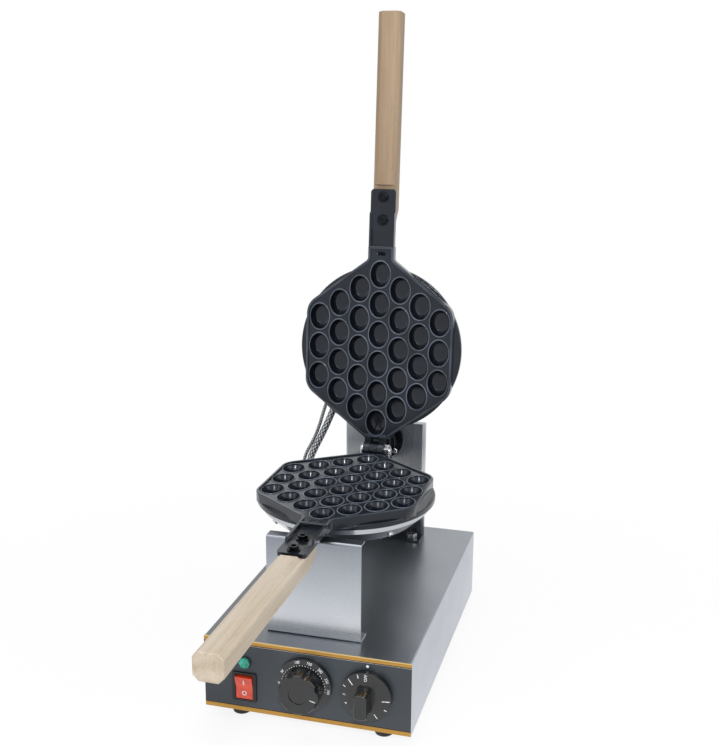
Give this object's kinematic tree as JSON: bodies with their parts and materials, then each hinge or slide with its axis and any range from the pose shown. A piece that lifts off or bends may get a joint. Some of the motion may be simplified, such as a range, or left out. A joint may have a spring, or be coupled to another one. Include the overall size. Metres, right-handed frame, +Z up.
{
  "type": "bubble waffle maker",
  "caption": "Tabletop bubble waffle maker: two hinged oval-cell pans that turn over in a rear post above a box with temperature and timer dials.",
  "frame": {"origin": "centre of the whole plan on the floor under the feet", "axes": "+X to the right seen from the front, +Y to the rear, +Z up; the control panel and the handles face -Y"},
  "size_m": [0.21, 0.5844, 0.6912],
  "materials": {
    "stainless": "brushed stainless sheet",
    "bright_steel": "turned and plated steel",
    "nonstick": "cast aluminium with a blue-black non-stick coat, satin",
    "panel": "dark grey printed panel with two gold stripes",
    "black_plastic": "moulded black plastic, fine texture",
    "rocker_red": "glossy red-orange plastic",
    "lamp_green": "clear green faceted plastic",
    "dark_wood": "oiled beech, straight grain",
    "rubber": "moulded rubber",
    "bronze": "plain sintered bronze",
    "ceramic_fibre": "pressed ceramic fibre board",
    "white_plastic": "white phenolic plastic",
    "braid": "braided steel conduit"
  },
  "bodies": {
    "base": {"base_housing": "stainless", "bottom_plate": "stainless", "bottom_plate_screws": "bright_steel", "rubber_feet": "rubber", "foot_screws": "bright_steel", "foot_nuts": "bright_steel", "front_panel": "panel", "terminal_block": "white_plastic", "inlet_gland": "black_plastic", "power_switch_body": "black_plastic", "pilot_lamp_body": "black_plastic", "pilot_lamp_lens": "lamp_green", "pilot_lamp_nut": "bright_steel", "thermostat_body": "bright_steel", "timer_body": "bright_steel", "front_stand": "stainless", "stand_screws": "bright_steel", "rear_post": "stainless", "post_back_cover": "stainless", "post_bolts": "bright_steel", "bearing_housing": "bright_steel", "bearing_bushes": "bronze", "bearing_screws": "bright_steel", "back_cover_screws": "bright_steel", "top_glands": "bright_steel", "upper_conduit_tail": "braid", "sensor_sleeve_tail": "braid", "lower_conduit": "braid"},
    "lower_pan": {"hinge_yoke": "bright_steel", "yoke_bolts": "bright_steel", "hinge_pin": "bright_steel", "hinge_pin_nut": "bright_steel", "flip_shaft": "bright_steel", "shaft_nut": "bright_steel", "conduit_bracket": "stainless", "bracket_screws": "bright_steel", "lower_plate": "nonstick", "lower_heater": "bright_steel", "lower_insulation": "ceramic_fibre", "lower_cover": "stainless", "lower_gland": "bright_steel", "lower_cover_screws": "bright_steel", "lower_grip": "dark_wood", "lower_grip_screws": "bright_steel", "upper_conduit": "braid", "sensor_sleeve": "braid"},
    "upper_pan": {"upper_plate": "nonstick", "upper_heater": "bright_steel", "upper_insulation": "ceramic_fibre", "upper_cover": "stainless", "upper_glands": "bright_steel", "upper_cover_screws": "bright_steel", "upper_grip": "dark_wood", "upper_grip_screws": "bright_steel"},
    "temperature_knob": {"temperature_dial": "black_plastic", "temperature_spindle": "bright_steel"},
    "timer_knob": {"timer_dial": "black_plastic", "timer_spindle": "bright_steel"},
    "power_key": {"power_rocker": "rocker_red"}
  },
  "joints": [
    {"name": "flip", "type": "hinge", "parent": "base", "child": "lower_pan", "pos_m": [0, 0.2402, 0.2086], "axis": [0, 1, 0], "range_deg": [-90, 90], "deforming": ["upper_conduit_tail", "sensor_sleeve_tail", "lower_conduit"]},
    {"name": "lid", "type": "hinge", "parent": "lower_pan", "child": "upper_pan", "pos_m": [0, 0.1927, 0.2086], "axis": [1, 0, 0], "range_deg": [0, 94.9], "deforming": ["upper_conduit", "sensor_sleeve"]},
    {"name": "temperature_turn", "type": "hinge", "parent": "base", "child": "temperature_knob", "pos_m": [0, -0.0628, 0.0526], "axis": [0, 1, 0], "range_deg": [0, 290]},
    {"name": "timer_turn", "type": "hinge", "parent": "base", "child": "timer_knob", "pos_m": [0.062, -0.0628, 0.0513], "axis": [0, 1, 0], "range_deg": [0, 300]},
    {"name": "power_rock", "type": "hinge", "parent": "base", "child": "power_key", "pos_m": [-0.063, -0.0598, 0.039], "axis": [1, 0, 0], "range_deg": [-16, 0]}
  ]
}
